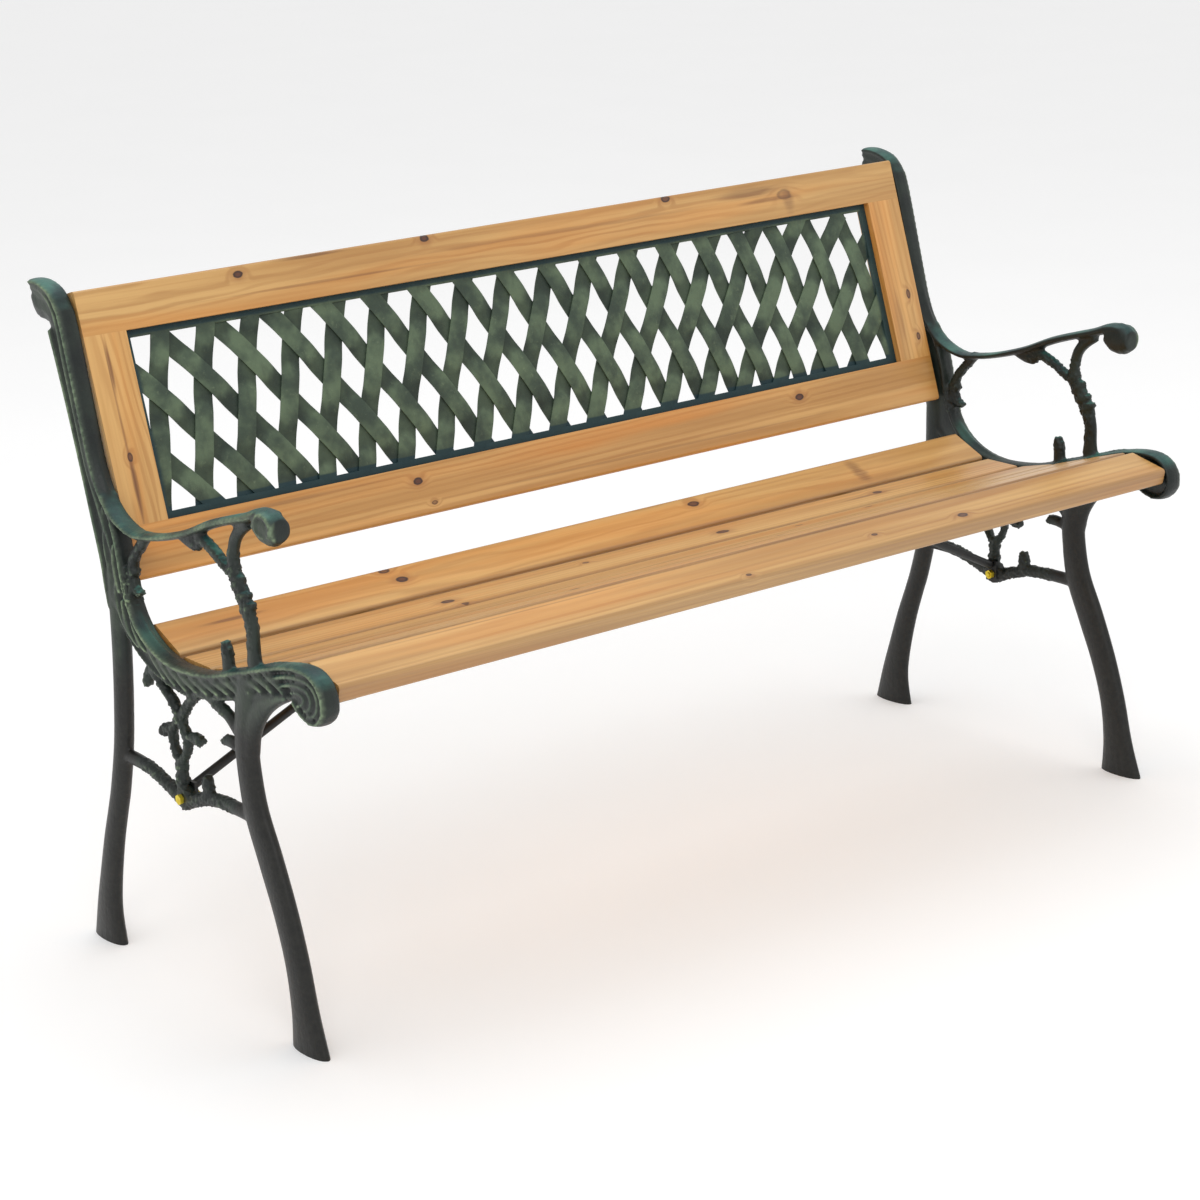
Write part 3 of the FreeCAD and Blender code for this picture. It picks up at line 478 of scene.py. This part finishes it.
# Lattice of the back: one flat iron grille with a plain border let into the rails and stiles. Two families
# of straps are woven over and under each other, and their rows follow a shallow arch across the back.
BACK_TILT = math.radians(16.5)
BACK_FOOT = (0, 0.117, 0.431)
PANEL_LOW = 57
PANEL_HIGH = 261
PANEL_HALF = 534
BORDER = 8
TONGUE = 6
PANEL_DEEP = 12
STRAP_WIDTH = 24
STRAP_THICK = 3.6
STRAP_PITCH = 57.5
STRAP_SLOPE = 2.03
STRAP_START = 16
STRAP_REACH = 153
STRAP_BEVEL = 1.1
BORDER_THICK = 6
STRAPS = 11
WEAVE = 1.5
ARCH = 2000
panel_middle = (PANEL_LOW + PANEL_HIGH) / 2
straps = []
for lean in (-1, 1):
    strap = start_piece("strap")
    line = []
    for rise in range(-STRAP_REACH, STRAP_REACH + 1, 9):
        turn = lean * rise / STRAP_SLOPE / ARCH
        phase = (rise / STRAP_SLOPE * 2 - 2 * STRAP_START) / STRAP_PITCH
        wave = max(-1, min(1, 2.2 * math.cos(math.pi * phase))) * lean * WEAVE
        line.append(((ARCH + rise) * math.sin(turn), panel_middle + (ARCH + rise) * math.cos(turn) - ARCH,
                     STRAP_WIDTH, wave))
    add_bar(line, STRAP_THICK, 0, 8, 6)
    close_piece()
    for index in range(-STRAPS, STRAPS + 1):
        copy = strap.copy()
        copy.data = strap.data.copy()
        bpy.context.scene.collection.objects.link(copy)
        select_only(copy)
        bpy.ops.object.mode_set(mode="EDIT")
        bpy.ops.mesh.select_all(action="SELECT")
        swing = (index * STRAP_PITCH - lean * STRAP_START) / ARCH
        bpy.ops.transform.rotate(value=swing, orient_axis="X",
                                 center_override=(0, 0, (panel_middle - ARCH) * MM))
        bpy.ops.object.mode_set(mode="OBJECT")
        straps.append(copy)
    bpy.data.objects.remove(strap)
select_only(*straps)
bpy.ops.object.join()
lattice = straps[0]
lattice.name = "woven_lattice"
bpy.ops.object.mode_set(mode="EDIT")
edge_inside = BORDER / 2
cut((0, (PANEL_HALF - edge_inside) * MM, 0), (0, 1, 0))
cut((0, (edge_inside - PANEL_HALF) * MM, 0), (0, -1, 0))
cut((0, 0, (PANEL_LOW + edge_inside) * MM), (0, 0, -1))
cut((0, 0, (PANEL_HIGH - edge_inside) * MM), (0, 0, 1))
bpy.ops.mesh.hide(unselected=False)
bpy.ops.mesh.primitive_cube_add(size=1, location=(0, 0, panel_middle * MM))
rise = (PANEL_HIGH - PANEL_LOW + 2 * TONGUE) * MM
bpy.ops.transform.resize(value=(BORDER_THICK * MM, 2 * (PANEL_HALF + TONGUE) * MM, rise),
                         center_override=(0, 0, panel_middle * MM))
bpy.ops.mesh.select_mode(type="FACE")
bpy.ops.object.mode_set(mode="OBJECT")
for face in lattice.data.polygons:
    face.select = not face.hide and abs(face.normal.x) > 0.9
bpy.ops.object.mode_set(mode="EDIT")
bpy.ops.mesh.inset(thickness=(BORDER + TONGUE) * MM)
bpy.ops.mesh.bridge_edge_loops()
bpy.ops.mesh.select_all(action="SELECT")
bpy.ops.mesh.normals_make_consistent(inside=False)
bpy.ops.mesh.bevel(offset=STRAP_BEVEL * MM, segments=2)
bpy.ops.mesh.reveal()
bpy.ops.mesh.select_all(action="SELECT")
bpy.ops.transform.rotate(value=-math.pi / 2, orient_axis="Z", center_override=(0, 0, 0))
bpy.ops.transform.translate(value=(0, PANEL_DEEP * MM, 0))
bpy.ops.transform.rotate(value=BACK_TILT, orient_axis="X", center_override=(0, 0, 0))
bpy.ops.transform.translate(value=BACK_FOOT)
bpy.ops.object.mode_set(mode="OBJECT")

LATTICE_GREEN = (paint(60, 74, 63), paint(96, 114, 90))
patina, shader, place = start_finish("lattice_patina")
axes = place.node("SeparateXYZ", {}, {0: place})
across = Wire(axes.tree, axes.socket.node.outputs["X"])
height = Wire(axes.tree, axes.socket.node.outputs["Z"])
patch = place.noise(26, 3)
# Depth of each point behind the back's foot plane, used for the painted shade under crossing straps.
shade_depth = place.node("VectorMath", {"operation": "SUBTRACT"}, {0: place, 1: BACK_FOOT})
shade_depth = shade_depth.node("VectorMath", {"operation": "DOT_PRODUCT"},
                 {0: shade_depth, 1: (0, math.cos(BACK_TILT), -math.sin(BACK_TILT))}, 1)
speck = place.noise(150, 4, 0.7)
grain = place.noise(800, 2)
brushed = place.stretched(1, 1, 0.35).noise(60, 4)
low_edge = height.band(0.505, 0.487)
high_edge = height.band(0.662, 0.682)
end_edge = across.math("ABSOLUTE", across).band(0.522, 0.5275)
border = low_edge.math("MAXIMUM", low_edge, high_edge)
rim = end_edge.math("MAXIMUM", height.band(0.4955, 0.4935), height.band(0.672, 0.6745))
rim = rim.math("MAXIMUM", rim, end_edge)
colour = patch.band(0.34, 0.66).blend(*LATTICE_GREEN)
colour = (brushed.band(0.5, 0.75) * 0.5).blend(colour, paint(52, 62, 56))
colour = (speck.band(0.55, 0.8) * 0.35).blend(colour, paint(134, 150, 120))
shade_depth = shade_depth - PANEL_DEEP * MM
# Painted shade: strap faces near the weave's middle plane, where a strap dips under the other family,
# darken.
colour = (shade_depth.math("ABSOLUTE", shade_depth).band(0.0022, 0.0004) * 0.55).blend(colour, paint(26, 36, 32))
colour = (border * 0.55).blend(colour, paint(40, 54, 50))
colour = (rim * 0.85).blend(colour, paint(24, 52, 60))
end_finish(shader, colour, 0.46 + speck * 0.2, grain * 0.4 + speck + brushed, 0.0005, specular=0.3)
clothe(lattice, patina)
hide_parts("back_lattice")
select_only(lattice)
bpy.ops.object.shade_smooth_by_angle(angle=math.radians(40))

# Timber: six seat slats, two back rails and two stiles, planed pine with rounded edges under satin varnish.
# Each board has its own log centre, so growth rings run through its faces and show as arcs on its ends.
PINE_LIGHT = paint(222, 176, 108)
PINE_DARK = paint(190, 140, 75)
PINE_ORANGE = paint(226, 142, 48)
KNOT_RIM = paint(52, 26, 10)
KNOT_HEART = paint(92, 46, 18)
RING = 0.0044


def pine(name, origin, along, across, heart, tone, knots=(), streaks=(), warm=0.35, edges=0.0):
    """Varnished pine for one board; places on it are given along and across from its middle, in metres."""
    material, shader, place = start_finish(name)
    normal = along.cross(across)
    turn = mathutils.Matrix((along, across, normal)).transposed().to_euler()
    board = place.node("Mapping", {"vector_type": "TEXTURE"},
                       {"Vector": place, "Location": tuple(origin), "Rotation": tuple(turn)})
    axes = board.node("SeparateXYZ", {}, {0: board})
    length = Wire(axes.tree, axes.socket.node.outputs["X"])
    width = Wire(axes.tree, axes.socket.node.outputs["Y"])
    depth = Wire(axes.tree, axes.socket.node.outputs["Z"])
    shift = board.node("VectorMath", {"operation": "ADD"},
                       {0: board, 1: (heart[0] * 31, heart[1] * 17, tone)})
    sway = shift.stretched(1.4, 9, 9).noise(2.4, 2) - 0.5
    ripple = shift.stretched(6, 60, 60).noise(2, 2) - 0.5
    side = width - heart[0] - length * heart[2] + sway * 0.022
    rise = depth - heart[1] + sway * 0.012
    rings = (side * side + rise * rise) ** 0.5 * (1 / RING) + ripple * 0.5
    marks = None
    for at, over, radius, dark in knots:
        near = board.node("VectorMath", {"operation": "SUBTRACT"}, {0: board, 1: (at, over, 0)})
        near = near.stretched(0.62, 1, 0.12)
        away = near.node("VectorMath", {"operation": "LENGTH"}, {0: near}, 1)
        away = away * 1.3 + (ripple * radius * 1.1)
        rings = rings + away.band(radius * 3.6, 0) * 1.5
        mark = away.band(radius * 1.15, radius * 0.8)
        ring = mark * away.band(radius * 0.35, radius * 0.85)
        halo = away.band(radius * 3, radius * 0.9) * 0.35
        if marks is None:
            marks = [mark * dark, ring * dark, halo * dark]
        else:
            marks = [old.math("MAXIMUM", old, new * dark) for old, new in zip(marks, (mark, ring, halo))]
    line = rings.math("SINE", rings * math.tau) * 0.5 + 0.5
    strength = shift.stretched(2, 40, 40).noise(1.5, 3).band(0.3, 0.75) * 0.75 + 0.25
    late = line.band(0.35, 1.0) * strength
    fibre = shift.stretched(5, 420, 420).noise(1, 3, 0.6)
    broad = shift.stretched(1.6, 34, 34).noise(1, 3)
    early = (broad.band(0.3, 0.7)).blend(PINE_LIGHT, PINE_DARK)
    colour = (late * 0.6).blend(early, paint(172, 118, 56))
    colour = (fibre.band(0.45, 0.8) * 0.3).blend(colour, paint(186, 128, 66))
    glow = shift.stretched(2, 26, 26).noise(1, 2).band(0.42, 0.72) * warm
    colour = glow.blend(colour, PINE_ORANGE)
    for at, over, reach, wide, dark in streaks:
        near = board.node("VectorMath", {"operation": "SUBTRACT"}, {0: board, 1: (at, over, 0)})
        near = near.stretched(1 / reach, 1 / wide, 1)
        away = near.node("VectorMath", {"operation": "LENGTH"}, {0: near}, 1)
        away = away + ripple * 0.8
        broken = fibre.band(0.3, 0.6) * 0.5 + 0.5
        colour = (away.band(1.0, 0.25) * dark * broken).blend(colour, paint(104, 58, 26))
    # Painted shade: a grey-brown band along the board's long edges, where the gaps between slats fall in
    # shade.
    if edges:
        near_edge = width.math("ABSOLUTE", width).band(0.0225, 0.0275)
        edge_shade = near_edge * (fibre.band(0.2, 0.6) * 0.4 + 0.6) * edges
        colour = edge_shade.blend(colour, paint(128, 100, 74))
    if marks:
        colour = marks[2].blend(colour, paint(150, 84, 34))
        colour = marks[0].blend(colour, KNOT_HEART)
        colour = marks[1].blend(colour, KNOT_RIM)
    colour = colour.node("HueSaturation", {}, {"Value": tone, "Color": colour})
    height = fibre * 0.6 + late * 0.5
    end_finish(shader, colour, 0.36 + fibre * 0.2, height, 0.0003, coat=0.35)
    return material


# Slats from front to rear: log centre and its slope, tone, knots (along, across, radius, darkness) and
# streaks (along, across, half length, half width, darkness).
SLATS = [
    ((0.035, -0.085, 0.012), 1.0,
     [(0.135, -0.006, 0.004, 0.8), (0.265, -0.012, 0.006, 0.9), (-0.06, -0.02, 0.004, 0.7)],
     [(-0.35, 0.02, 0.25, 0.002, 0.3)]),
    ((-0.06, -0.05, 0.02), 1.02, [(-0.215, 0.02, 0.005, 0.9)], [(0.05, -0.026, 0.5, 0.003, 0.5)]),
    ((0.02, -0.11, -0.015), 0.98, [(0.1, -0.01, 0.004, 0.8)], [(-0.28, 0.016, 0.22, 0.0022, 0.45)]),
    ((-0.045, -0.07, 0.018), 1.0, [(0.19, 0.0, 0.004, 0.7), (0.31, 0.01, 0.004, 0.8)],
     [(-0.2, -0.018, 0.3, 0.002, 0.4)]),
    ((0.05, -0.06, -0.01), 1.03,
     [(0.125, 0.0, 0.007, 1.0), (-0.272, -0.004, 0.007, 1.0), (-0.262, -0.024, 0.005, 0.7),
      (-0.07, 0.01, 0.004, 0.7), (0.375, 0.004, 0.006, 1.0)], [(0.36, 0.0, 0.05, 0.004, 0.5)]),
    ((-0.03, -0.1, 0.014), 1.05,
     [(0.14, 0.012, 0.006, 0.9), (-0.285, 0.004, 0.006, 1.0), (-0.296, 0.024, 0.006, 0.8)],
     [(-0.5, 0.006, 0.05, 0.004, 0.75), (0.395, 0.0, 0.014, 0.03, 0.6)]),
]
# Strength of the painted shade along each slat's long edges.
SLAT_EDGE_SHADE = 0.55
ALONG_BENCH = mathutils.Vector((1, 0, 0))
for number, (heart, tone, knots, streaks) in enumerate(SLATS, start=1):
    slat = bpy.data.objects[f"seat_slat_{number}"]
    spots = numpy.array([vertex.co for vertex in slat.data.vertices])
    low = spots.min(axis=0)
    high = spots.max(axis=0)
    middle = (low + high) / 2
    across = numpy.linalg.svd((spots - spots.mean(axis=0))[:, 1:], full_matrices=False)[2][0]
    across = mathutils.Vector((0, across[0], across[1])) * (1 if across[0] > 0 else -1)
    board = pine(f"pine_slat_{number}", middle, ALONG_BENCH, across, heart, tone, knots, streaks,
                 edges=SLAT_EDGE_SHADE)
    clothe(slat, board)
up_slope = mathutils.Vector((0, math.sin(BACK_TILT), math.cos(BACK_TILT)))
foot = mathutils.Vector(BACK_FOOT)
TIMBER_END = 585
BACK_HEIGHT = 310
RAILS = [
    ("back_bottom_rail", PANEL_LOW / 2, (-0.05, 0.07, 0.016), 0.99,
     [(-0.216, 0.011, 0.005, 1.0), (0.357, 0.012, 0.005, 1.0), (-0.2, -0.016, 0.003, 0.6)],
     [(-0.42, 0.02, 0.2, 0.003, 0.45), (0.1, -0.014, 0.4, 0.002, 0.35)], 0.55),
    ("back_top_rail", (PANEL_HIGH + BACK_HEIGHT) / 2, (0.045, 0.09, 0.02), 0.9,
     [(-0.386, 0.014, 0.005, 1.0), (-0.138, 0.021, 0.005, 1.0), (0.215, 0.021, 0.005, 0.9),
      (0.40, 0.004, 0.009, 0.3)],
     [(0.345, 0.012, 0.07, 0.010, 0.55), (0.405, -0.004, 0.012, 0.022, 0.45), (0.37, 0.0, 0.06, 0.004, 0.5),
      (-0.27, -0.008, 0.2, 0.002, 0.5), (-0.29, 0.022, 0.06, 0.003, 0.7), (0.05, 0.004, 0.3, 0.003, 0.35)],
     0.4),
]
for name, rise, heart, tone, knots, streaks, warm in RAILS:
    middle = foot + up_slope * rise * MM
    board = pine("pine_" + name, middle, ALONG_BENCH, up_slope, heart, tone, knots, streaks, warm)
    clothe(bpy.data.objects[name], board)
STILES = [
    ("back_left_stile", -1, (0.03, 0.07, 0.05), 1.0, [(-0.03, 0.003, 0.004, 0.8)],
     [(-0.06, 0.003, 0.05, 0.004, 0.8), (0.065, 0.002, 0.04, 0.0035, 0.75),
      (0.0, 0.004, 0.12, 0.0022, 0.6)]),
    ("back_right_stile", 1, (-0.04, 0.06, 0.04), 1.0,
     [(-0.02, -0.01, 0.0045, 0.8), (-0.075, -0.012, 0.004, 0.8)],
     [(-0.05, 0.012, 0.045, 0.010, 0.3)]),
]
STILE_WARMTH = 0.5
AGAINST_BENCH = mathutils.Vector((-1, 0, 0))
for name, hand, heart, tone, knots, streaks in STILES:
    sideways = ALONG_BENCH * (hand * (TIMBER_END + PANEL_HALF) / 2 * MM)
    middle = foot + up_slope * panel_middle * MM + sideways
    board = pine("pine_" + name, middle, up_slope, AGAINST_BENCH, heart, tone, knots, streaks, STILE_WARMTH)
    clothe(bpy.data.objects[name], board)

# Fixings: the tie rods and seat battens are mild steel in black paint, the screws and washers are bright
# zinc plate, the tie rods' bolts and nuts are yellow zinc, and beech dowels hold the back's corners.


def metal(name, base, light, roughness, metallic, coat=0.0):
    """Painted or plated steel with fine wear."""
    material, shader, place = start_finish(name)
    cloud = place.noise(90, 3)
    speck = place.noise(700, 3, 0.7)
    colour = (cloud.band(0.3, 0.7) * 0.8).blend(base, light)
    end_finish(shader, colour, roughness + speck * 0.2, cloud + speck * 0.6, 0.0002, metallic, coat)
    return material


black_paint = metal("black_paint", paint(9, 10, 10), paint(22, 23, 21), 0.42, 0.0)
bright_zinc = metal("bright_zinc", paint(150, 153, 156), paint(196, 198, 200), 0.26, 1.0)
yellow_zinc = metal("yellow_zinc", paint(206, 176, 30), paint(232, 214, 70), 0.3, 0.7)
beech = metal("beech", paint(206, 164, 112), paint(222, 186, 136), 0.55, 0.0)
FIXINGS = [
    (black_paint, "black_steel", ("left_tie_rod", "right_tie_rod", "left_seat_batten",
                                  "right_seat_batten")),
    (bright_zinc, "plain_steel", ("seat_screws", "seat_washers", "back_screws", "back_washers",
                                  "batten_screws", "rod_screws")),
    (yellow_zinc, "yellow_zinc", ("tie_rod_bolts", "tie_rod_nuts")),
    (beech, "dowel_beech", ("back_dowels",)),
]
for finish, slot_name, nodes in FIXINGS:
    for node in nodes:
        clothe(bpy.data.objects[node], finish)

# Studio: a seamless pale floor, one large soft key light from the front left, a fill from the right, a top
# light and a bright surround.
bpy.ops.object.select_all(action="DESELECT")
bpy.ops.mesh.primitive_plane_add(size=400, location=(0, 0, 0))
floor = bpy.context.active_object
floor.name = "floor"
pale, shader, place = start_finish("pale_floor")
shade = place.noise(3, 2)
whites = shade.blend(paint(250, 250, 250), paint(246, 246, 246))
end_finish(shader, whites, 0.75 + shade * 0.1, shade, 0.0001)
shader.inputs["Emission Color"].default_value = (1, 1, 1, 1)
shader.inputs["Emission Strength"].default_value = 0.14
floor.data.materials.append(pale)
LIGHTS = [("key", (-2.6, -3.2, 3.4), 2.0, 52), ("fill", (3.4, -2.6, 2.0), 3.0, 10),
          ("top", (0.2, 0.8, 3.6), 2.6, 24)]
LIT_POINT = mathutils.Vector((0, 0, 0.4))
for name, spot, size, power in LIGHTS:
    lamp = bpy.data.objects.new(name, bpy.data.lights.new(name, "AREA"))
    lamp.data.size = size
    lamp.data.energy = power
    lamp.location = spot
    lamp.rotation_euler = (LIT_POINT - lamp.location).to_track_quat("-Z", "Y").to_euler()
    bpy.context.scene.collection.objects.link(lamp)
world = bpy.data.worlds.new("surround")
world.use_nodes = True
world.node_tree.nodes["Background"].inputs["Color"].default_value = (1, 1, 1, 1)
world.node_tree.nodes["Background"].inputs["Strength"].default_value = 0.76
bpy.context.scene.world = world
bpy.context.scene.view_settings.view_transform = "Standard"

# Camera: in front of the left end, turned right and dipped towards the bench, with a slight roll.
CAMERA_PLACE = (-2.0709, -2.6056, 1.2941)
CAMERA_TURN = math.radians(-37.605)
CAMERA_TILT = math.radians(90 - 16.422)
CAMERA_ROLL = math.radians(-2.176)
camera = bpy.data.objects.new("camera", bpy.data.cameras.new("camera"))
camera.data.sensor_width = 36
camera.data.lens = 90.9
turned = mathutils.Matrix.Rotation(CAMERA_TURN, 4, "Z")
tilted = turned @ mathutils.Matrix.Rotation(CAMERA_TILT, 4, "X")
rolled = tilted @ mathutils.Matrix.Rotation(CAMERA_ROLL, 4, "Z")
camera.matrix_world = mathutils.Matrix.Translation(CAMERA_PLACE) @ rolled
bpy.context.scene.collection.objects.link(camera)
bpy.context.scene.camera = camera
